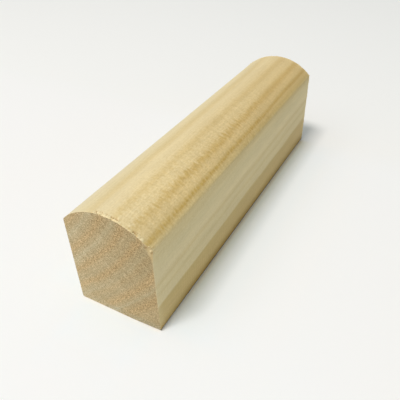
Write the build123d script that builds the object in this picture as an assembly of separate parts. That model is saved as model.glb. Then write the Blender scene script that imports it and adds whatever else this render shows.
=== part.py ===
"""Stair nose moulding: a short length of planed pine with a flat back, two flat sides and a domed nose.

The length lies on its back. X runs across the section, Y along the grain, Z from the back to the nose.
The origin is the centre of the back face.
"""

import os

from build123d import *

# Driving dimensions, in millimetres
width = 32.0  # across the two flat sides, which lie flush with the two faces of the tread
side_height = 35.0  # from the back up to the shoulders, where the dome begins
dome_rise = 7.0  # from the shoulders up to the crown of the dome
cut_length = 138.0  # along the grain, between the two saw cuts
back_arris = 0.5  # radius on the two long edges of the back
shoulder_arris = 1.5  # radius on the two long edges where the sides meet the dome


def moulding_section():
    """The section across the grain: three straight faces closed over by one shallow arc, arrises eased.

    It is drawn upright on its own plane, so that the sketch's Y axis is the moulding's Z axis.
    """
    half_width = width / 2
    crown_height = side_height + dome_rise
    with BuildSketch(Plane.XZ) as section:
        with BuildLine():
            flats = Polyline(
                (half_width, side_height),
                (half_width, 0),
                (-half_width, 0),
                (-half_width, side_height),
            )
            ThreePointArc(flats @ 1, (0, crown_height), flats @ 0)
        make_face()
        back_corners = section.vertices().group_by(Axis.Y)[0]
        fillet(back_corners, radius=back_arris)
        shoulders = section.vertices().group_by(Axis.Y)[-1]
        fillet(shoulders, radius=shoulder_arris)
    return section.sketch


def stair_nosing():
    """The whole moulding: its section run along the grain and sawn square at both ends."""
    nosing = extrude(moulding_section(), amount=cut_length / 2, both=True)
    nosing.label = "stair_nosing"
    return nosing


def main():
    os.makedirs("parts", exist_ok=True)
    export_step(stair_nosing(), "parts/stair_nosing.step")


main()
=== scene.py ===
"""Dresses the stair nose moulding as a short length of planed pine with two sawn ends.

Metres, in the part's own frame: X across the section, Y along the grain, Z from the back to the crown.
"""

import math

import bpy
import numpy as np
from mathutils import Matrix, Vector


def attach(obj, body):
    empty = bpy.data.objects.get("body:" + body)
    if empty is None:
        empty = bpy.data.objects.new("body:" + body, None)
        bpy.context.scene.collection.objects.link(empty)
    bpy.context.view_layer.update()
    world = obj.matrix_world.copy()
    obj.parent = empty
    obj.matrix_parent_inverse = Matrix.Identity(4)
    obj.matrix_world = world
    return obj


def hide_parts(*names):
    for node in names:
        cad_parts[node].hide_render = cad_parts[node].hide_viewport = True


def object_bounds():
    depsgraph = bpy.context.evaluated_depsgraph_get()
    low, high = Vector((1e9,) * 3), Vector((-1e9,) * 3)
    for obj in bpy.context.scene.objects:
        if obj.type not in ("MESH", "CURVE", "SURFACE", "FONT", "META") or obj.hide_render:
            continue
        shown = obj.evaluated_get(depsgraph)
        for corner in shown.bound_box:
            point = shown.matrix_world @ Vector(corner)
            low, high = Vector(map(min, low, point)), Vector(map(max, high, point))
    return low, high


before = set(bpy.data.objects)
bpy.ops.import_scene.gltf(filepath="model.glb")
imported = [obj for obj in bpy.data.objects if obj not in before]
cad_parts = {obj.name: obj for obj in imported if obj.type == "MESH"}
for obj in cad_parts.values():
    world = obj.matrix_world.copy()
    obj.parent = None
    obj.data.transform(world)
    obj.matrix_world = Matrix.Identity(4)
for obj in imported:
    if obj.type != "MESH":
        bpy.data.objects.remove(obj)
cad_low, cad_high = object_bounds()

MM = 0.001

# The section and the length, from the frame
half_width = (cad_high.x - cad_low.x) / 2
crown_height = cad_high.z
length = cad_high.y - cad_low.y
near_end = cad_low.y
far_end = cad_high.y
dome_rise = 7.0 * MM
shoulder_arris = 1.5 * MM
back_arris = 0.5 * MM
dome_radius = (half_width ** 2 + dome_rise ** 2) / (2 * dome_rise)
dome_centre = crown_height - dome_radius

# How the log lay in the section: the pith is up and to the left, and leans away a little towards the far end
pith_near_mm = (-79.3, 90.0)
pith_lean_mm = (-1.25, 0.75)
middle_distance_mm = 105.0

# How dark the latewood is at each distance from the pith, in millimetres
latewood_depth = (
    (80.0, 0.05), (83.0, 0.06), (84.5, 0.00),
    (86.4, 0.00), (89.0, 0.42), (91.2, 0.02),
    (93.8, 0.02), (95.9, 0.40), (98.2, 0.05),
    (100.2, 0.08), (102.6, 0.74), (104.8, 0.12),
    (106.2, 0.12), (107.8, 0.90), (108.8, 0.30),
    (110.2, 0.60), (111.3, 0.40), (112.9, 0.00),
    (116.4, 0.00), (118.0, 0.32), (119.0, 0.03),
    (119.8, 0.05), (120.6, 0.22), (121.6, 0.00),
    (123.2, 0.00), (124.2, 0.82), (128.0, 0.76), (132.0, 1.00),
)

# The rings that fade towards the near end: distance from the pith, how far they fade, where they are clear
faded_rings_mm = (
    ((100.0, 105.6), 0.45, -40.0),
    ((109.0, 112.4), 0.75, 5.0),
)
fade_length_mm = 30.0

# The same bands as they show on the sawn ends, where they are wide and even
end_band_depth = (
    (80.0, 0.60), (83.0, 0.75), (85.6, 0.05), (87.0, 0.55), (88.7, 1.00), (90.2, 0.75),
    (92.8, 0.00), (94.6, 0.55), (96.1, 1.00), (97.4, 0.70), (99.7, 0.00), (101.5, 0.60),
    (103.2, 0.75), (105.4, 0.00), (107.4, 0.75), (108.6, 0.90), (110.4, 0.50), (112.3, 0.75),
    (115.3, 0.00), (117.0, 0.60), (118.0, 1.00), (119.2, 0.50), (120.9, 0.05), (124.6, 0.60),
    (129.0, 0.65), (133.0, 0.65),
)

# Thin pale lines inside some of those bands
end_line_depth = (
    (86.9, 0.0), (88.6, 1.0), (90.4, 0.0), (94.7, 0.0), (96.0, 1.0), (97.2, 0.0),
    (108.0, 0.0), (109.0, 0.4), (110.0, 0.0), (116.6, 0.0), (117.9, 0.9), (119.1, 0.0),
)

# The earlywood's colour at each distance from the pith: pale, then amber, then the cooler sapwood
earlywood_colour = (
    (82.0, (0.772, 0.706, 0.515)),
    (84.5, (0.790, 0.682, 0.436)),
    (86.5, (0.798, 0.666, 0.390)),
    (90.0, (0.836, 0.688, 0.402)),
    (96.0, (0.830, 0.667, 0.368)),
    (99.5, (0.851, 0.684, 0.376)),
    (104.0, (0.808, 0.628, 0.321)),
    (108.5, (0.758, 0.592, 0.290)),
    (111.5, (0.733, 0.604, 0.320)),
    (114.2, (0.742, 0.622, 0.348)),
    (116.6, (0.788, 0.660, 0.384)),
    (118.2, (0.758, 0.632, 0.359)),
    (121.0, (0.741, 0.617, 0.344)),
    (128.0, (0.778, 0.632, 0.360)),
    (131.0, (0.750, 0.603, 0.338)),
)

# How the heartwood's colour shifts along the length, at each place in millimetres
colour_along = (
    (-69.0, (1.020, 1.045, 1.110)),
    (-48.0, (1.000, 1.000, 1.000)),
    (0.0, (0.923, 0.902, 0.860)),
    (50.0, (0.865, 0.828, 0.745)),
)

# Other colours, linear
latewood_tint = (0.79, 0.685, 0.39)
speck_tint = (0.80, 0.74, 0.60)
end_early = (0.738, 0.557, 0.303)
end_late = (0.604, 0.509, 0.307)
end_speck_tint = (0.450, 0.395, 0.290)
end_dark_tone = (0.745, 0.715, 0.637)
end_light_tone = (1.255, 1.285, 1.363)
# Painted light across the sawn ends: darker towards the upper right, lighter and cooler towards the lower
# left
end_shaded = (0.930, 0.890, 0.850)
end_lit = (1.155, 1.157, 1.216)
# Darker and browner towards the foot of the right side
right_foot_darkening = (0.560, 0.430, 0.110)
# Painted shadow: a thin dark line at the foot of the right side, where it meets the floor
contact_shadow_tint = (0.56, 0.49, 0.37)
chip_tan = (0.640, 0.480, 0.245)
# Painted light: the foot of the sawn ends is painted cooler
end_foot_cool_light = (0.95, 1.02, 1.14)
resin_brown = (0.450, 0.300, 0.110)
# Painted shade in the torn hollows and in the dark flecks of the knock
torn_hollow_shade = (0.400, 0.260, 0.105)
fibre_cream = (0.990, 0.815, 0.470)
fibre_tan = (0.620, 0.450, 0.200)

# The floor's colour at each distance from the timber, in millimetres, with painted light: cooler beside the
# timber, against the warm light that it throws there
floor_colour = (
    (0.0, (0.940, 0.940, 0.905)),
    (1.2, (0.905, 0.943, 0.955)),
    (2.5, (0.895, 0.943, 0.968)),
    (5.0, (0.905, 0.947, 0.962)),
    (12.0, (0.925, 0.950, 0.960)),
    (20.0, (0.942, 0.946, 0.942)),
    (34.0, (0.955, 0.944, 0.928)),
    (80.0, (0.962, 0.939, 0.912)),
)
# Painted light: plain white by the timber's corners and a warmer white behind its far end, without the cooler
# tint
floor_at_corner = (0.955, 0.944, 0.925)
floor_behind = (0.955, 0.935, 0.900)
# How its shade deepens and warms at the foot of the side that is turned from the lamp
floor_foot = (
    (0.0, (1.00, 1.00, 1.00)),
    (0.2, (0.91, 0.82, 0.64)),
    (1.0, (0.97, 0.92, 0.79)),
    (2.0, (0.98, 0.97, 0.89)),
    (5.0, (1.01, 1.00, 0.98)),
    (8.0, (1.00, 1.00, 1.00)),
)

# Where the saw tore the near arris of the dome: place across the section, half width, strength
torn_spots_mm = (
    (-1.4, 2.8, 1.00),
    (4.2, 2.2, 1.00),
    (8.7, 1.1, 0.50),
    (11.5, 1.7, 0.70),
    (15.4, 0.9, 0.50),
)
far_breakout = 0.20

# The tufts and the hollows of that tear: place across the section, distance from the end, half width
torn_tufts_mm = (
    (-1.8, 0.90, 0.28), (-1.2, 0.60, 0.28), (-0.5, 0.70, 0.26), (0.1, 0.55, 0.28), (0.7, 0.70, 0.26),
    (1.5, 0.70, 0.26), (2.3, 0.55, 0.26), (3.2, 0.45, 0.26), (3.9, 0.50, 0.28), (4.4, 0.45, 0.26),
    (5.0, 0.50, 0.34), (4.7, 1.70, 0.26), (5.9, 0.45, 0.28), (8.2, 1.50, 0.26), (10.4, 0.20, 0.28),
    (11.8, 0.35, 0.45), (12.8, 0.30, 0.50),
)
torn_hollows_mm = (
    (-2.4, 0.95, 0.30), (-0.9, 1.30, 0.20), (1.1, 1.20, 0.20), (2.8, 1.10, 0.24), (3.5, 0.90, 0.22),
    (4.1, 1.20, 0.24), (4.7, 0.95, 0.22), (10.2, 0.70, 0.27), (10.55, 0.85, 0.27),
)

# The knocks at the near end, on the right shoulder and under the right base corner: each starts at a line
# across the end, given by a direction and a distance in millimetres, and slopes back along the grain
knocks = (
    ((0.94, 0.34), 25.35, 0.55),
    ((0.07, -1.0), 0.40, 0.80),
)

# The flecks on the first knock: place across and up, half width, and whether it is pale or dark; the dark
# ones are painted shade in its hollows
knock_flecks_mm = (
    (14.2, 35.9, 0.36, -1.0),
    (15.4, 34.8, 0.30, 1.0),
    (15.7, 34.1, 0.34, -1.0),
)

# The paler line along the sawn arrises, partly the pale fibres that the saw left and partly a painted
# highlight on the arris: how pale on the dome and on the sides, and at its margin
frayed_highlight_dome = 0.55
frayed_highlight_sides = 0.60
frayed_highlight_margin = 0.25
clear_of_floor = 2.0 * MM

# The fine surface that is only shaded: the cutters' scallops, the planed fibres and the sawn pores
scallop_pitch_mm = 1.5
scallop_share = 0.10
planed_bump = 0.06 * MM
sawn_bump = 0.03 * MM

# The relief that is in the mesh
relief = {
    "Ring Relief": 0.03 * MM,
    "Saw Relief": 0.05 * MM,
    "Torn Depth": 0.40 * MM,
    "Torn Height": 0.20 * MM,
    "Torn Reach": 2.20 * MM,
}
tuft_stretch = 2.0
hollow_stretch = 1.3
bare_over = 0.25 * MM

# The loose splinters
splinters = {
    "Spacing": 0.14 * MM,
    "Shortest": 0.30 * MM,
    "Longest": 0.90 * MM,
    "Thickness": 0.13 * MM,
    "Strip": 1.20 * MM,
}
splinter_share = 0.6
splinter_root = 0.1 * MM

# The lamps: how they lean from overhead along X and Y, their breadth and depth in metres, and their level
lamps = (
    ("overhead_lamp", (-0.13, -0.40), (0.56, 0.38), 0.565),
    ("left_lamp", (-0.50, -0.42), (0.80, 2.00), 0.105),
)
lamp_distance = 2.0
lamp_colour = (1.0, 0.955, 0.94)
room_light_level = 0.40
room_light_colour = (0.91, 1.02, 1.045)
room_seen_level = 0.9
room_seen_colour = (1.0, 1.0, 0.99)

# The stage's floor
floor_reach = 4.0
floor_gap = 0.05 * MM

# The photograph's viewpoint, found from the moulding's own corners
camera_eye = Vector((73.14, -141.35, 122.10)) * MM
camera_aim = Vector((7.18, -25.73, 20.67)) * MM
camera_roll_deg = -1.568
camera_lens_mm = 41.04
camera_sensor_mm = 36.0

# The angle above which an edge of the timber stays sharp
sharp_deg = 40.0

# The mesh's steps
across_steps = 130
side_steps = 84
arris_steps = 4
run_step = 1.25 * MM
end_rows_mm = (0.0, 0.16, 0.32, 0.50, 0.70, 0.92, 1.17, 1.45, 1.77, 2.15)


# Node wiring, shared by the shader and the geometry trees

def put(socket, value):
    """Links a socket to the input, or sets the input to a plain value."""
    if isinstance(value, bpy.types.NodeSocket):
        socket.id_data.links.new(value, socket)
    else:
        socket.default_value = value


def add(tree, kind, **settings):
    node = tree.nodes.new(kind)
    for name, value in settings.items():
        setattr(node, name, value)
    return node


def maths(tree, operation, *values):
    node = add(tree, "ShaderNodeMath", operation=operation)
    for socket, value in zip(node.inputs, values):
        put(socket, value)
    return node.outputs[0]


def product(tree, first, *others):
    for value in others:
        first = maths(tree, "MULTIPLY", first, value)
    return first


def vector_maths(tree, operation, *values):
    node = add(tree, "ShaderNodeVectorMath", operation=operation)
    for socket, value in zip(node.inputs, values):
        put(socket, value)
    return node.outputs["Value" if operation in ("LENGTH", "DOT_PRODUCT") else "Vector"]


def scaled(tree, vector, factor):
    node = add(tree, "ShaderNodeVectorMath", operation="SCALE")
    put(node.inputs["Vector"], vector)
    put(node.inputs["Scale"], factor)
    return node.outputs["Vector"]


def split(tree, vector):
    node = add(tree, "ShaderNodeSeparateXYZ")
    put(node.inputs[0], vector)
    return node.outputs[0], node.outputs[1], node.outputs[2]


def combined(tree, x, y, z):
    node = add(tree, "ShaderNodeCombineXYZ")
    for socket, value in zip(node.inputs, (x, y, z)):
        put(socket, value)
    return node.outputs[0]


def remap(tree, value, from_low, from_high, to_low, to_high, smooth=False):
    node = add(tree, "ShaderNodeMapRange", interpolation_type="SMOOTHSTEP" if smooth else "LINEAR")
    for socket, given in zip(node.inputs, (value, from_low, from_high, to_low, to_high)):
        put(socket, given)
    return node.outputs[0]


def noise(tree, vector, detail=2.0, roughness=0.5):
    node = add(tree, "ShaderNodeTexNoise")
    put(node.inputs["Vector"], vector)
    node.inputs["Scale"].default_value = 1.0
    node.inputs["Detail"].default_value = detail
    node.inputs["Roughness"].default_value = roughness
    return node.outputs[0]


def stretched_noise(tree, place, across, along, detail=2.0, roughness=0.5):
    """Noise with so many features a millimetre across the grain and along it."""
    return noise(tree, vector_maths(tree, "MULTIPLY", place, (across, along, across)), detail, roughness)


def mixed(tree, factor, first, second, blend="MIX"):
    node = add(tree, "ShaderNodeMix", data_type="RGBA", blend_type=blend)
    put(node.inputs[0], factor)
    put(node.inputs[6], first if isinstance(first, bpy.types.NodeSocket) else (*first, 1.0))
    put(node.inputs[7], second if isinstance(second, bpy.types.NodeSocket) else (*second, 1.0))
    return node.outputs[2]


def toned(tree, colour, value):
    """The colour made lighter or darker by a factor near one."""
    node = add(tree, "ShaderNodeHueSaturation")
    put(node.inputs["Value"], value)
    put(node.inputs["Color"], colour)
    return node.outputs[0]


def swing(tree, value, reach):
    """A factor about one, which a noise value swings by the given reach."""
    if isinstance(reach, bpy.types.NodeSocket):
        return maths(tree, "MULTIPLY_ADD", remap(tree, value, 0.25, 0.75, -1.0, 1.0), reach, 1.0)
    return remap(tree, value, 0.25, 0.75, 1.0 - reach, 1.0 + reach)


def ramp_over(tree, value, stops):
    """A colour or a shade that changes smoothly with a value, through stops in the value's own units."""
    first, last = stops[0][0], stops[-1][0]
    node = add(tree, "ShaderNodeValToRGB")
    put(node.inputs[0], remap(tree, value, first, last, 0.0, 1.0))
    ramp = node.color_ramp
    ramp.interpolation = "EASE"
    while len(ramp.elements) > 1:
        ramp.elements.remove(ramp.elements[-1])
    for index, (place, shade) in enumerate(stops):
        colour = shade if isinstance(shade, tuple) else (shade, shade, shade)
        position = (place - first) / (last - first)
        stop = ramp.elements[0] if index == 0 else ramp.elements.new(position)
        stop.position = position
        stop.color = (*colour, 1.0)
    return node.outputs[0]


def new_group(kind, name, inputs, outputs):
    """An empty node group with named sockets, and its inner input and output nodes."""
    tree = bpy.data.node_groups.new(name, kind)
    for socket_name, socket_type in inputs:
        tree.interface.new_socket(socket_name, in_out="INPUT", socket_type=socket_type)
    for socket_name, socket_type in outputs:
        tree.interface.new_socket(socket_name, in_out="OUTPUT", socket_type=socket_type)
    return tree, add(tree, "NodeGroupInput"), add(tree, "NodeGroupOutput")


def use_group(tree, group, **values):
    kind = "ShaderNodeGroup" if tree.bl_idname == "ShaderNodeTree" else "GeometryNodeGroup"
    node = add(tree, kind, node_tree=group)
    for name, value in values.items():
        put(node.inputs[name], value)
    return node.outputs


# The growth rings, which colour the wood and also raise its surface

def growth_rings(kind):
    """Where a point of the log lies among the growth rings, all in millimetres.

    The last output tells where the cutters left the grain standing, and where its shading under the grazing
    light is painted into the colour: on the right of the dome, most towards the front.
    """
    outputs = ("Latewood", "End Band", "End Line", "Distance", "Around", "Raised And Shaded")
    tree, given, result = new_group(
        kind,
        "growth_rings",
        [("Position", "NodeSocketVector")],
        [(name, "NodeSocketFloat") for name in outputs],
    )
    place = scaled(tree, given.outputs["Position"], 1 / MM)
    x, y, z = split(tree, place)
    along = remap(tree, y, near_end / MM, far_end / MM, 0.0, 1.0)
    spoke_x = maths(tree, "SUBTRACT", x, maths(tree, "MULTIPLY_ADD", along, pith_lean_mm[0], pith_near_mm[0]))
    spoke_z = maths(tree, "SUBTRACT", z, maths(tree, "MULTIPLY_ADD", along, pith_lean_mm[1], pith_near_mm[1]))
    straight_distance = vector_maths(tree, "LENGTH", combined(tree, spoke_x, 0.0, spoke_z))
    to_right = remap(tree, x, -3.0, 8.0, 0.0, 1.0, True)
    upwards = remap(tree, z, 33.0, 36.0, 0.0, 1.0, True)
    raised_and_shaded = product(tree, to_right, upwards, remap(tree, y, 0.0, 50.0, 1.0, 0.25, True))
    slow = remap(tree, stretched_noise(tree, place, 0.08, 0.014, 1.0), 0.0, 1.0, -0.6, 0.6)
    quick = remap(tree, stretched_noise(tree, place, 0.45, 0.06, 2.0), 0.0, 1.0, -0.5, 0.5)
    # Painted shade: on the right of the dome, where the light grazes, the bands are jagged and broken into
    # rungs across the grain, as the cutters' marks shade them
    jag = remap(tree, stretched_noise(tree, place, 0.25, 0.80, 2.0), 0.0, 1.0, -2.5, 2.5)
    rungs = swing(tree, stretched_noise(tree, place, 0.30, 1.05, 1.0), product(tree, raised_and_shaded, 0.50))
    inside_shoulder = remap(tree, x, 10.0, 13.5, 1.0, 0.15, True)
    sway = maths(tree, "ADD", maths(tree, "ADD", slow, quick), product(tree, jag, raised_and_shaded, inside_shoulder))
    distance = maths(tree, "ADD", straight_distance, sway)
    latewood = product(tree, ramp_over(tree, distance, latewood_depth), rungs)
    for (inner, outer), fade, clear_mm in faded_rings_mm:
        past_inner = remap(tree, distance, inner - 0.4, inner + 0.4, 0.0, 1.0)
        before_outer = remap(tree, distance, outer - 0.6, outer + 0.6, 1.0, 0.0)
        at_near_end = remap(tree, y, clear_mm - fade_length_mm, clear_mm, fade, 0.0)
        faded = product(tree, past_inner, before_outer, at_near_end)
        latewood = product(tree, latewood, maths(tree, "SUBTRACT", 1.0, faded))
    put(result.inputs["Latewood"], latewood)
    put(result.inputs["End Band"], ramp_over(tree, distance, end_band_depth))
    put(result.inputs["End Line"], ramp_over(tree, distance, end_line_depth))
    put(result.inputs["Distance"], distance)
    put(result.inputs["Around"], product(tree, maths(tree, "ARCTAN2", spoke_z, spoke_x), middle_distance_mm))
    put(result.inputs["Raised And Shaded"], raised_and_shaded)
    return tree


def fibre_grain():
    """Fine streaks, resin flecks, mottling and speckle, drawn out along the grain, and ripples across it."""
    tree, given, result = new_group(
        "ShaderNodeTree",
        "fibre_grain",
        [("Position", "NodeSocketVector")],
        [(name, "NodeSocketFloat") for name in ("Streak", "Fleck", "Mottle", "Speckle", "Ripple")],
    )
    place = scaled(tree, given.outputs["Position"], 1 / MM)
    put(result.inputs["Streak"], stretched_noise(tree, place, 2.2, 0.09, 3.0, 0.6))
    put(result.inputs["Mottle"], stretched_noise(tree, place, 0.16, 0.035, 2.0, 0.6))
    put(result.inputs["Speckle"], stretched_noise(tree, place, 1.7, 1.2, 2.0, 0.65))
    put(result.inputs["Ripple"], stretched_noise(tree, place, 0.35, 0.85, 1.0))
    dashes = stretched_noise(tree, place, 2.6, 0.16, 1.0)
    put(result.inputs["Fleck"], remap(tree, dashes, 0.68, 0.78, 0.0, 1.0))
    return tree


# Materials

def new_material(name):
    material = bpy.data.materials.new(name)
    material.use_nodes = True
    return material, material.node_tree, material.node_tree.nodes["Principled BSDF"]


def bumped(tree, height, distance):
    node = add(tree, "ShaderNodeBump")
    node.inputs["Strength"].default_value = 1.0
    node.inputs["Distance"].default_value = distance
    put(node.inputs["Height"], height)
    return node.outputs[0]


def planed_pine(rings_group, grain_group):
    """The planed faces: cream earlywood, amber latewood, fine fibres and the cutters' faint scallops, with
    painted shade in the torn hollows, at the right side's foot and across the grain where the light grazes,
    and a painted highlight along the sawn arrises.
    """
    material, tree, surface = new_material("planed_pine")
    place = add(tree, "ShaderNodeTexCoord").outputs["Object"]
    rings = use_group(tree, rings_group, Position=place)
    grain = use_group(tree, grain_group, Position=place)
    early = ramp_over(tree, rings["Distance"], earlywood_colour)
    wood = mixed(tree, rings["Latewood"], early, latewood_tint, "MULTIPLY")
    wood = mixed(tree, maths(tree, "MULTIPLY", grain["Fleck"], 0.15), wood, resin_brown)
    # Painted shade in the torn hollows, which are also sunk into the mesh
    hollow = add(tree, "ShaderNodeAttribute", attribute_name="hollow").outputs["Fac"]
    wood = mixed(tree, hollow, wood, torn_hollow_shade)
    # Pale torn fibres, and along the sawn arrises a painted highlight as well
    standing = add(tree, "ShaderNodeAttribute", attribute_name="standing").outputs["Fac"]
    wood = mixed(tree, standing, wood, fibre_cream)
    x, y, z = split(tree, scaled(tree, place, 1 / MM))
    heartwood = remap(tree, rings["Distance"], 109.0, 114.5, 1.0, 0.25, True)
    brown_foot = remap(tree, rings["Distance"], 122.5, 124.5, 0.0, 0.35)
    to_right = remap(tree, x, -16.0, 5.5, 0.0, 1.0, True)
    shifted = product(tree, maths(tree, "ADD", heartwood, brown_foot), to_right)
    wood = mixed(tree, shifted, wood, ramp_over(tree, y, colour_along), "MULTIPLY")
    # The right side is darker and browner towards its foot, less so towards the near end and the far end
    low = remap(tree, z, 0.5, 6.0, 1.0, 0.0)
    towards_right_foot = product(
        tree,
        remap(tree, x, 15.5, 16.0, 0.0, 1.0),
        remap(tree, y, -69.0, -35.0, 0.35, 1.0),
        remap(tree, y, -35.0, 60.0, 1.0, 0.55),
        maths(tree, "MULTIPLY", low, low),
    )
    wood = mixed(tree, towards_right_foot, wood, right_foot_darkening, "MULTIPLY")
    # Painted shadow: a thin dark line along the foot of the right side
    foot = product(tree, remap(tree, x, 15.5, 16.0, 0.0, 1.0), remap(tree, z, 0.4, 1.3, 1.0, 0.0))
    wood = mixed(tree, foot, wood, contact_shadow_tint, "MULTIPLY")
    # Painted shade: the speckle and the ripples across the grain are stronger where the light grazes the
    # right of the dome
    speck = remap(tree, grain["Speckle"], 0.30, 0.72, 0.0, 1.0)
    speck = product(tree, speck, remap(tree, rings["Raised And Shaded"], 0.0, 1.0, 0.40, 0.85))
    wood = mixed(tree, speck, wood, speck_tint, "MULTIPLY")
    ripple_reach = remap(tree, rings["Raised And Shaded"], 0.0, 1.0, 0.01, 0.05)
    tone = product(
        tree,
        swing(tree, grain["Streak"], 0.05),
        swing(tree, grain["Mottle"], 0.04),
        swing(tree, grain["Ripple"], ripple_reach),
    )
    put(surface.inputs["Base Color"], toned(tree, wood, tone))
    put(surface.inputs["Roughness"], remap(tree, rings["Latewood"], 0.0, 1.0, 0.60, 0.46))
    surface.inputs["Specular IOR Level"].default_value = 0.4
    scallops = maths(tree, "SINE", maths(tree, "MULTIPLY", y, 2 * math.pi / scallop_pitch_mm))
    height = maths(tree, "MULTIPLY_ADD", scallops, scallop_share, grain["Streak"])
    height = maths(tree, "MULTIPLY_ADD", grain["Speckle"], rings["Raised And Shaded"], height)
    put(surface.inputs["Normal"], bumped(tree, height, planed_bump))
    return material


def sawn_end_grain(rings_group, grain_group):
    """The sawn ends: matt, tan earlywood and grey-green latewood, speckled by the cut fibres, with painted
    light across them.
    """
    material, tree, surface = new_material("sawn_end_grain")
    place = add(tree, "ShaderNodeTexCoord").outputs["Object"]
    rings = use_group(tree, rings_group, Position=place)
    grain = use_group(tree, grain_group, Position=place)
    patchy = remap(tree, grain["Mottle"], 0.30, 0.70, 0.88, 1.06)
    wood = mixed(tree, product(tree, rings["End Band"], patchy), end_early, end_late)
    place_mm = scaled(tree, place, 1 / MM)
    pores = stretched_noise(tree, place_mm, 2.0, 2.0, 2.0, 0.65)
    rough = remap(tree, rings["End Band"], 0.0, 1.0, 1.0, 0.70)
    speck = product(tree, remap(tree, pores, 0.36, 0.64, 0.0, 1.0), rough)
    wood = mixed(tree, speck, wood, end_speck_tint, "MULTIPLY")
    # Painted light: darker towards the upper right of each end, lighter and cooler towards its lower left
    downhill = vector_maths(tree, "DOT_PRODUCT", place_mm, (-0.95, 0.0, -0.32))
    shade = mixed(tree, remap(tree, downhill, -23.0, 12.0, 0.0, 1.0), end_shaded, end_lit)
    wood = mixed(tree, 1.0, wood, shade, "MULTIPLY")
    x, _, z = split(tree, place_mm)
    # Painted light: cooler along the foot of the end
    cool_at_end_foot = product(tree, remap(tree, z, 1.0, 3.5, 1.0, 0.0, True), remap(tree, x, -12.0, -6.0, 0.2, 1.0))
    wood = mixed(tree, cool_at_end_foot, wood, end_foot_cool_light, "MULTIPLY")
    chipped = add(tree, "ShaderNodeAttribute", attribute_name="chipped").outputs["Fac"]
    wood = mixed(tree, chipped, wood, chip_tan)
    # Pale flecks of torn fibre on the knock, and dark flecks of painted shade in its hollows
    fleck = add(tree, "ShaderNodeAttribute", attribute_name="fleck").outputs["Fac"]
    wood = mixed(tree, fleck, wood, fibre_cream)
    wood = mixed(tree, maths(tree, "MULTIPLY", fleck, -1.0), wood, torn_hollow_shade)
    around, distance = rings["Around"], rings["Distance"]

    def round_the_pith(features_around, features_outwards, layer, detail, roughness=0.5):
        along_ring = product(tree, around, features_around)
        outwards = product(tree, distance, features_outwards)
        return noise(tree, combined(tree, along_ring, outwards, layer), detail, roughness)

    rays = round_the_pith(0.95, 0.14, 0.0, 2.0, 0.7)
    lines = round_the_pith(0.07, 0.80, 5.0, 2.0, 0.6)
    bands = round_the_pith(0.03, 0.24, 9.0, 1.0)
    clumps = stretched_noise(tree, place_mm, 0.60, 0.60, 1.0)
    tone = product(
        tree,
        swing(tree, rays, 0.14),
        swing(tree, lines, 0.06),
        swing(tree, bands, 0.05),
        swing(tree, clumps, 0.05),
        remap(tree, rings["End Line"], 0.0, 1.0, 0.98, 1.09),
    )
    tone = mixed(tree, remap(tree, tone, 0.7, 1.3, 0.0, 1.0), end_dark_tone, end_light_tone)
    put(surface.inputs["Base Color"], mixed(tree, 1.0, wood, tone, "MULTIPLY"))
    surface.inputs["Roughness"].default_value = 0.85
    surface.inputs["Specular IOR Level"].default_value = 0.2
    put(surface.inputs["Normal"], bumped(tree, maths(tree, "ADD", pores, rays), sawn_bump))
    return material


def torn_fibre(grain_group):
    """The loose fibres of a torn arris: pale where they are clean, tan where they are bruised."""
    material, tree, surface = new_material("torn_fibre")
    place = add(tree, "ShaderNodeTexCoord").outputs["Object"]
    grain = use_group(tree, grain_group, Position=place)
    bruised = remap(tree, grain["Speckle"], 0.45, 0.70, 0.0, 1.0)
    put(surface.inputs["Base Color"], mixed(tree, bruised, fibre_cream, fibre_tan))
    surface.inputs["Roughness"].default_value = 0.7
    surface.inputs["Specular IOR Level"].default_value = 0.3
    return material


def white_floor():
    """White, with painted light: a touch cooler beside the timber, which throws its own warm colour there,
    and painted shade at the foot of its shaded side.
    """
    material, tree, surface = new_material("white_floor")
    place_mm = scaled(tree, add(tree, "ShaderNodeTexCoord").outputs["Object"], 1 / MM)
    half_size = (half_width / MM, length / 2 / MM, 0.0)
    past = vector_maths(tree, "SUBTRACT", vector_maths(tree, "ABSOLUTE", place_mm), half_size)
    past_x, past_y, _ = split(tree, past)
    outside = vector_maths(tree, "MAXIMUM", combined(tree, past_x, past_y, 0.0), (0.0, 0.0, 0.0))
    away = vector_maths(tree, "LENGTH", outside)
    x, y, _ = split(tree, place_mm)
    beside = maths(tree, "SUBTRACT", x, half_size[0])
    at_foot = product(tree, remap(tree, y, -67.0, -45.0, 0.0, 1.0), remap(tree, y, 66.0, 69.0, 1.0, 0.0))
    # Painted light: cooler beside the timber, back to plain white at its corners and behind its far end, and
    # darker and warmer at the foot of its shaded side
    colour = ramp_over(tree, away, floor_colour)
    at_corner = remap(tree, maths(tree, "MINIMUM", past_x, past_y), -4.0, 1.0, 0.0, 0.6)
    colour = mixed(tree, at_corner, colour, floor_at_corner)
    colour = mixed(tree, remap(tree, y, 55.0, 75.0, 0.0, 1.0), colour, floor_behind)
    colour = mixed(tree, at_foot, colour, ramp_over(tree, beside, floor_foot), "MULTIPLY")
    put(surface.inputs["Base Color"], colour)
    surface.inputs["Roughness"].default_value = 0.9
    surface.inputs["Specular IOR Level"].default_value = 0.1
    return material


# The timber's mesh

def arc(centre, radius, start_deg, end_deg, steps):
    angles = np.radians(np.linspace(start_deg, end_deg, steps + 1))
    return np.column_stack([centre[0] + radius * np.cos(angles), centre[1] + radius * np.sin(angles)])


def straight(start, end, steps):
    return np.linspace(start, end, steps + 1)


def joined(*runs):
    """Runs end to end, each shared point once."""
    return np.concatenate([runs[0]] + [run[1:] for run in runs[1:]])


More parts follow.
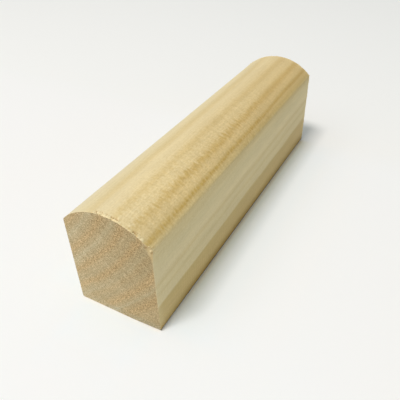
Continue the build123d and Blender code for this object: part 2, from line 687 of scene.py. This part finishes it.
def section_runs():
    """The back, the right side, the dome and the left side, each from the middle of one arris to the next."""
    back_x = half_width - back_arris
    shoulder_x = half_width - shoulder_arris
    shoulder_z = dome_centre + math.sqrt((dome_radius - shoulder_arris) ** 2 - shoulder_x ** 2)
    dome_deg = math.degrees(math.atan2(shoulder_z - dome_centre, shoulder_x))
    corner = arc((back_x, back_arris), back_arris, -90, 0, 2 * arris_steps)
    shoulder = arc((shoulder_x, shoulder_z), shoulder_arris, 0, dome_deg, 2 * arris_steps)
    mirror = np.array([-1.0, 1.0])
    across = across_steps - 2 * arris_steps
    back = joined(
        (corner[: arris_steps + 1] * mirror)[::-1],
        straight((-back_x, 0.0), (back_x, 0.0), across),
        corner[: arris_steps + 1],
    )
    side = joined(
        corner[arris_steps:],
        straight((half_width, back_arris), (half_width, shoulder_z), side_steps - 2 * arris_steps),
        shoulder[: arris_steps + 1],
    )
    dome = joined(
        shoulder[arris_steps:] * mirror,
        arc((0.0, dome_centre), dome_radius, 180 - dome_deg, dome_deg, across),
        shoulder[arris_steps:][::-1],
    )
    return back, side, dome, side * mirror


def filled(back, right, dome, left):
    """A grid of points over the section, stretched evenly between its four runs."""
    u = np.linspace(0, 1, len(back))[:, None, None]
    v = np.linspace(0, 1, len(right))[None, :, None]
    between_back_and_dome = (1 - v) * back[:, None] + v * dome[:, None]
    between_sides = (1 - u) * left[None] + u * right[None]
    corners = (1 - v) * ((1 - u) * back[0] + u * back[-1]) + v * ((1 - u) * dome[0] + u * dome[-1])
    return between_back_and_dome + between_sides - corners


def row_places():
    """Where the rows of the planed faces lie along the grain: close together at the ends, even between."""
    from_end = np.array(end_rows_mm) * MM
    near, far = near_end + from_end, far_end - from_end[::-1]
    steps = round((far[0] - near[-1]) / run_step)
    return np.concatenate([near, np.linspace(near[-1], far[0], steps + 1)[1:-1], far])


def loop_of(across, up):
    """The grid places round the section's edge, anticlockwise as seen from the near end."""
    back = [(i, 0) for i in range(across)]
    right = [(across, j) for j in range(up)]
    dome = [(i, up) for i in range(across, 0, -1)]
    left = [(0, j) for j in range(up, 0, -1)]
    return back + right + dome + left


def near_breakout(x, z):
    """How badly the saw tore the near arris of the dome at each place across the section."""
    torn = np.zeros(len(x))
    for place, reach, strength in torn_spots_mm:
        torn = np.maximum(torn, strength * np.clip(1.4 - 1.4 * np.abs(x / MM - place) / reach, 0, 1))
    return np.where(z > crown_height - dome_rise - shoulder_arris, torn, 0.0)


def soft_spot(away):
    """Full in the middle of a spot and none outside it, by the distance from its middle in half widths."""
    return np.clip(1.6 - 1.2 * away, 0, 1)


def near_marks(points, marks, stretch):
    """How far each point at the front of the dome belongs to one of the marks, stretched along the grain."""
    across, from_end = points[:, 0] / MM, (points[:, 1] - near_end) / MM
    amount = np.zeros(len(points))
    for place, back, half in marks:
        away = np.hypot(across - place, (from_end - back) / stretch) / half
        amount = np.maximum(amount, soft_spot(away))
    return np.where(points[:, 2] > crown_height - dome_rise - shoulder_arris, amount, 0.0)


def past_the_line(points, direction, start_mm):
    """How far each point lies past the line where a knock begins."""
    return np.clip(points[:, 0] * direction[0] + points[:, 2] * direction[1] - start_mm * MM, 0, None)


def knocked_back(points):
    """The points with those inside a knock moved back along the grain to its slope."""
    settled = np.clip(1 - (points[:, 1] - near_end) / (end_rows_mm[-1] * MM), 0, 1)
    moved = points.copy()
    for direction, start_mm, slope in knocks:
        moved[:, 1] += slope * past_the_line(points, direction, start_mm) * settled
    return moved


def chipped_ends(points):
    """Which points of the near end lie on the bare wood of a knock."""
    past = sum(past_the_line(points, direction, start_mm) for direction, start_mm, slope in knocks)
    return np.clip(past / bare_over, 0, 1) * (points[:, 1] == near_end)


def flecked_ends(points):
    """Where the near end carries a pale fleck, above zero, or a dark one, below zero."""
    amount = np.zeros(len(points))
    for across, up, half, shade in knock_flecks_mm:
        away = np.hypot(points[:, 0] / MM - across, points[:, 2] / MM - up) / half
        amount += shade * soft_spot(away)
    return amount * (points[:, 1] == near_end)


def timber_mesh():
    """The whole length as one closed mesh of four-sided faces, planed faces first and sawn ends second."""
    section = filled(*section_runs())
    across, up = section.shape[0] - 1, section.shape[1] - 1
    edge = loop_of(across, up)
    rows = row_places()
    flat = section.reshape(-1, 2)
    grid = np.arange(len(flat)).reshape(across + 1, up + 1)
    outline = np.array([section[place] for place in edge])

    def at(points, y):
        return np.column_stack([points[:, 0], np.full(len(points), y), points[:, 1]])

    points = [at(flat, rows[0]), at(flat, rows[-1])] + [at(outline, y) for y in rows[1:-1]]
    points = np.concatenate(points)
    near_loop = np.array([grid[place] for place in edge])
    loops = [near_loop]
    for k in range(len(rows) - 2):
        loops.append(2 * len(flat) + k * len(edge) + np.arange(len(edge)))
    loops.append(near_loop + len(flat))

    planed = []
    for first, second in zip(loops, loops[1:]):
        planed.append(np.column_stack([first, second, np.roll(second, -1), np.roll(first, -1)]))
    near_face = np.stack([grid[:-1, :-1], grid[1:, :-1], grid[1:, 1:], grid[:-1, 1:]], -1).reshape(-1, 4)
    far_face = near_face[:, ::-1] + len(flat)
    faces = np.concatenate(planed + [near_face, far_face])

    mesh = bpy.data.meshes.new("timber")
    mesh.from_pydata(knocked_back(points).tolist(), [], faces.tolist())
    sawn_faces = len(near_face) + len(far_face)
    slots = np.zeros(len(faces), dtype=np.int32)
    slots[-sawn_faces:] = 1
    mesh.polygons.foreach_set("material_index", slots)
    sawn = np.zeros(len(points), dtype=np.float32)
    sawn[: 2 * len(flat)] = 1.0
    sawn[near_loop] = 0.0
    sawn[near_loop + len(flat)] = 0.0
    above_floor = points[:, 2] > clear_of_floor
    on_dome = points[:, 2] > crown_height - dome_rise
    on_near = near_breakout(points[:, 0], points[:, 2])
    layers = {
        "sawn": sawn,
        "breakout": np.where(points[:, 1] < 0, on_near, far_breakout * above_floor),
        "tuft": near_marks(points, torn_tufts_mm, tuft_stretch),
        "hole": near_marks(points, torn_hollows_mm, hollow_stretch),
        "frayed_highlight": np.where(on_dome, frayed_highlight_dome, frayed_highlight_sides * above_floor),
        "chipped": chipped_ends(points),
        "fleck": flecked_ends(points),
    }
    for name, values in layers.items():
        mesh.attributes.new(name, "FLOAT", "POINT").data.foreach_set("value", values.astype(np.float32))
    return mesh


def arris_wire():
    """The two sawn arrises over the dome and down the right side, with what the torn fibres need to know."""
    _, right, dome, _ = section_runs()
    path = joined(dome, right[right[:, 1] > clear_of_floor][::-1])
    run = np.gradient(path, axis=0)
    normal = np.column_stack([-run[:, 1], np.zeros(len(path)), run[:, 0]])
    normal /= np.linalg.norm(normal, axis=1)[:, None]
    on_near = near_breakout(path[:, 0], path[:, 1])
    points, edges, outward, lift, density = [], [], [], [], []
    for y, direction, torn in ((near_end, -1.0, on_near), (far_end, 1.0, np.full(len(path), far_breakout))):
        start = len(points) * len(path)
        points.append(np.column_stack([path[:, 0], np.full(len(path), y), path[:, 1]]))
        edges += [(start + k, start + k + 1) for k in range(len(path) - 1)]
        outward.append(np.tile([0.0, direction, 0.0], (len(path), 1)))
        lift.append(normal)
        density.append(splinter_share * torn)
    mesh = bpy.data.meshes.new("torn_fibres")
    mesh.from_pydata(knocked_back(np.concatenate(points)).tolist(), edges, [])
    for name, values in (("outward", outward), ("lift", lift)):
        layer = mesh.attributes.new(name, "FLOAT_VECTOR", "POINT")
        layer.data.foreach_set("vector", np.concatenate(values).astype(np.float32).ravel())
    layer = mesh.attributes.new("density", "FLOAT", "POINT")
    layer.data.foreach_set("value", np.concatenate(density).astype(np.float32))
    return mesh


# Geometry trees

def new_geometry_tree(name, inputs):
    inputs = [("Geometry", "NodeSocketGeometry")] + inputs
    tree, given, result = new_group("GeometryNodeTree", name, inputs, [("Geometry", "NodeSocketGeometry")])
    return tree, given.outputs, result.inputs["Geometry"]


def named(tree, name, data_type="FLOAT"):
    node = add(tree, "GeometryNodeInputNamedAttribute", data_type=data_type)
    node.inputs["Name"].default_value = name
    return node.outputs["Attribute"]


def chance(tree, data_type, seed, **values):
    """A random value for each point, the same on every run."""
    node = add(tree, "FunctionNodeRandomValue", data_type=data_type)
    for socket in node.inputs:
        if socket.enabled and socket.name in values:
            put(socket, values[socket.name])
    put(node.inputs["Seed"], seed)
    return next(socket for socket in node.outputs if socket.enabled)


def machined_relief(rings_group):
    """Sinks the soft earlywood, roughens the sawn ends and tears the arrises where the saw came through."""
    inputs = ("Ring Relief", "Saw Relief", "Torn Depth", "Torn Height", "Torn Reach")
    tree, given, result = new_geometry_tree(
        "machined_relief",
        [(name, "NodeSocketFloat") for name in inputs],
    )
    position = add(tree, "GeometryNodeInputPosition").outputs[0]
    normal = add(tree, "GeometryNodeInputNormal").outputs[0]
    place = scaled(tree, position, 1 / MM)
    sawn = named(tree, "sawn")
    planed = maths(tree, "SUBTRACT", 1.0, sawn)
    latewood = use_group(tree, rings_group, Position=position)["Latewood"]
    soft = maths(tree, "SUBTRACT", 1.0, latewood)
    sunk = product(tree, planed, soft, given["Ring Relief"])
    rough = stretched_noise(tree, place, 1.5, 1.5)
    cut = product(tree, sawn, rough, given["Saw Relief"])
    from_middle = maths(tree, "ABSOLUTE", split(tree, position)[1])
    from_end = maths(tree, "SUBTRACT", length / 2, from_middle)
    torn = product(tree, named(tree, "breakout"), planed)
    inner = remap(tree, from_end, product(tree, given["Torn Reach"], 0.6), given["Torn Reach"], 1.0, 0.0)
    outer = remap(tree, from_end, 0.0, product(tree, given["Torn Reach"], 0.75), 1.4, 0.0)
    tufts = stretched_noise(tree, place, 2.0, 0.7)
    hollow = product(tree, torn, inner, remap(tree, tufts, 0.52, 0.60, 0.0, 0.35))
    hollow = maths(tree, "MAXIMUM", hollow, product(tree, named(tree, "hole"), planed))
    standing = product(tree, torn, outer, remap(tree, tufts, 0.52, 0.40, 0.0, 1.5))
    standing = maths(tree, "MAXIMUM", standing, product(tree, named(tree, "tuft"), planed))
    standing = product(tree, standing, maths(tree, "SUBTRACT", 1.0, hollow))
    # The pale line along the sawn arrises, partly the frayed fibres and partly a painted highlight, uneven
    # along its length
    uneven_line = remap(tree, stretched_noise(tree, place, 0.8, 0.8), 0.35, 0.65, 0.2, 1.0)
    edge = product(tree, uneven_line, remap(tree, from_end, 0.1 * MM, 0.6 * MM, 1.0, 0.0))
    margin = remap(tree, from_end, 0.4 * MM, 2.6 * MM, frayed_highlight_margin, 0.0)
    frayed_highlight = product(tree, named(tree, "frayed_highlight"), planed, maths(tree, "MAXIMUM", edge, margin))
    inwards = maths(tree, "ADD", maths(tree, "ADD", sunk, cut), product(tree, hollow, given["Torn Depth"]))
    outwards = maths(tree, "SUBTRACT", product(tree, standing, given["Torn Height"]), inwards)
    square = vector_maths(tree, "MULTIPLY", normal, combined(tree, 1.0, sawn, 1.0))
    square = vector_maths(tree, "NORMALIZE", square)
    move = add(tree, "GeometryNodeSetPosition")
    put(move.inputs["Geometry"], given["Geometry"])
    put(move.inputs["Offset"], scaled(tree, square, outwards))
    shaped = move.outputs[0]
    # Stores the torn hollows, which are painted as shade, and the tufts together with that pale line
    for name, amount in (("hollow", hollow), ("standing", maths(tree, "MAXIMUM", standing, frayed_highlight))):
        keep = add(tree, "GeometryNodeStoreNamedAttribute", data_type="FLOAT", domain="POINT")
        put(keep.inputs["Geometry"], shaped)
        keep.inputs["Name"].default_value = name
        put(keep.inputs["Value"], amount)
        shaped = keep.outputs[0]
    put(result, shaped)
    return tree


def fibre_tree():
    """Sets short splinters along the sawn arrises, thickest where the saw tore them most."""
    tree, given, result = new_geometry_tree(
        "torn_fibres",
        [
            ("Spacing", "NodeSocketFloat"),
            ("Shortest", "NodeSocketFloat"),
            ("Longest", "NodeSocketFloat"),
            ("Thickness", "NodeSocketFloat"),
            ("Strip", "NodeSocketFloat"),
            ("Material", "NodeSocketMaterial"),
        ],
    )
    curve = add(tree, "GeometryNodeMeshToCurve")
    put(curve.inputs["Mesh"], given["Geometry"])
    even = add(tree, "GeometryNodeResampleCurve", mode="LENGTH")
    put(even.inputs["Curve"], curve.outputs[0])
    put(even.inputs["Length"], given["Spacing"])
    outward = named(tree, "outward", "FLOAT_VECTOR")
    lift = named(tree, "lift", "FLOAT_VECTOR")
    back_from_edge = maths(tree, "MULTIPLY", chance(tree, "FLOAT", 11, Min=-1.0, Max=0.0), given["Strip"])
    spread = add(tree, "GeometryNodeSetPosition")
    put(spread.inputs["Geometry"], even.outputs[0])
    along_strip = scaled(tree, outward, back_from_edge)
    into_wood = scaled(tree, lift, -splinter_root)
    put(spread.inputs["Offset"], vector_maths(tree, "ADD", along_strip, into_wood))
    splinter = add(tree, "GeometryNodeMeshCone")
    splinter.inputs["Vertices"].default_value = 4
    splinter.inputs["Radius Top"].default_value = 0.1
    splinter.inputs["Radius Bottom"].default_value = 1.0
    splinter.inputs["Depth"].default_value = 1.0
    lean = scaled(tree, outward, chance(tree, "FLOAT", 12, Min=-0.2, Max=1.0))
    rise = scaled(tree, lift, chance(tree, "FLOAT", 13, Min=0.2, Max=1.0))
    stray = chance(tree, "FLOAT_VECTOR", 14, Min=(-0.6, -0.3, -0.3), Max=(0.6, 0.3, 0.3))
    aim = add(tree, "FunctionNodeAlignRotationToVector", axis="Z")
    put(aim.inputs["Vector"], vector_maths(tree, "ADD", vector_maths(tree, "ADD", lean, rise), stray))
    wide = maths(tree, "MULTIPLY", chance(tree, "FLOAT", 15, Min=0.5, Max=1.6), given["Thickness"])
    thin = maths(tree, "MULTIPLY", wide, 0.5)
    share = chance(tree, "FLOAT", 16, Min=0.0, Max=1.0)
    tall = remap(tree, share, 0.0, 1.0, given["Shortest"], given["Longest"])
    scatter = add(tree, "GeometryNodeInstanceOnPoints")
    put(scatter.inputs["Points"], spread.outputs[0])
    put(scatter.inputs["Selection"], chance(tree, "BOOLEAN", 17, Probability=named(tree, "density")))
    put(scatter.inputs["Instance"], splinter.outputs["Mesh"])
    put(scatter.inputs["Rotation"], aim.outputs[0])
    put(scatter.inputs["Scale"], combined(tree, wide, thin, tall))
    real = add(tree, "GeometryNodeRealizeInstances")
    put(real.inputs[0], scatter.outputs[0])
    dressed = add(tree, "GeometryNodeSetMaterial")
    put(dressed.inputs["Geometry"], real.outputs[0])
    put(dressed.inputs["Material"], given["Material"])
    put(result, dressed.outputs[0])
    return tree


def run_tree(piece, tree, values):
    """Runs a geometry tree over a piece and leaves the result as its plain mesh."""
    modifier = piece.modifiers.new(tree.name, "NODES")
    modifier.node_group = tree
    for socket in tree.interface.items_tree:
        if socket.in_out == "INPUT" and socket.name in values:
            modifier[socket.identifier] = values[socket.name]
    evaluated = piece.evaluated_get(bpy.context.evaluated_depsgraph_get())
    mesh = bpy.data.meshes.new_from_object(evaluated)
    piece.modifiers.remove(modifier)
    piece.data = mesh


# The pieces, the stage and the camera

def link_piece(name, mesh):
    piece = bpy.data.objects.new(name, mesh)
    bpy.context.scene.collection.objects.link(piece)
    return piece


def make_timber(grain):
    rings = growth_rings("ShaderNodeTree")
    timber = link_piece("timber", timber_mesh())
    timber.data.materials.append(planed_pine(rings, grain))
    timber.data.materials.append(sawn_end_grain(rings, grain))
    run_tree(timber, machined_relief(growth_rings("GeometryNodeTree")), relief)
    timber.data.shade_smooth()
    timber.data.set_sharp_from_angle(angle=math.radians(sharp_deg))
    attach(timber, "root")
    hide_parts("stair_nosing")


def make_fibres(grain):
    fibres = link_piece("torn_fibres", arris_wire())
    run_tree(fibres, fibre_tree(), {**splinters, "Material": torn_fibre(grain)})
    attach(fibres, "root")


def make_floor():
    mesh = bpy.data.meshes.new("floor")
    signs = ((-1, -1), (1, -1), (1, 1), (-1, 1))
    corners = [(x * floor_reach, y * floor_reach, -floor_gap) for x, y in signs]
    mesh.from_pydata(corners, [], [(0, 1, 2, 3)])
    mesh.materials.append(white_floor())
    floor = link_piece("floor", mesh)


def soft_lamp(name, lean, size, level):
    """An oblong lamp, leaning from overhead by two slopes, that lights a face turned to it at one level."""
    away = Vector((*lean, 1.0)).normalized()
    across = Vector((1.0, 0.0, 0.0))
    across = (across - away * across.dot(away)).normalized()
    turn = Matrix((across, away.cross(across), away)).transposed()
    lamp = bpy.data.lights.new(name, "AREA")
    lamp.shape = "RECTANGLE"
    lamp.size, lamp.size_y = size
    lamp.energy = level * math.pi ** 2 * lamp_distance ** 2
    lamp.color = lamp_colour
    item = bpy.data.objects.new(name, lamp)
    item.matrix_world = Matrix.Translation(away * lamp_distance) @ turn.to_4x4()
    bpy.context.scene.collection.objects.link(item)


def light_stage():
    for name, lean, size, level in lamps:
        soft_lamp(name, lean, size, level)
    world = bpy.data.worlds.new("pale_room")
    bpy.context.scene.world = world
    world.use_nodes = True
    tree = world.node_tree
    background = tree.nodes["Background"]
    path = add(tree, "ShaderNodeLightPath")
    shown = maths(tree, "MAXIMUM", path.outputs["Is Camera Ray"], path.outputs["Is Glossy Ray"])
    shown = maths(tree, "MAXIMUM", shown, path.outputs["Is Transmission Ray"])
    put(background.inputs["Strength"], remap(tree, shown, 0.0, 1.0, room_light_level, room_seen_level))
    put(background.inputs["Color"], mixed(tree, shown, room_light_colour, room_seen_colour))


def make_camera():
    lens = bpy.data.cameras.new("camera")
    lens.sensor_width = camera_sensor_mm
    lens.lens = camera_lens_mm
    lens.clip_start = 0.01
    camera = bpy.data.objects.new("camera", lens)
    turn = (camera_aim - camera_eye).to_track_quat("-Z", "Y").to_matrix()
    turn = turn @ Matrix.Rotation(math.radians(camera_roll_deg), 3, "Z")
    camera.matrix_world = Matrix.Translation(camera_eye) @ turn.to_4x4()
    bpy.context.scene.collection.objects.link(camera)
    bpy.context.scene.camera = camera


shared_grain = fibre_grain()
make_timber(shared_grain)
make_fibres(shared_grain)
make_floor()
light_stage()
make_camera()
bpy.context.scene.view_settings.view_transform = "Standard"
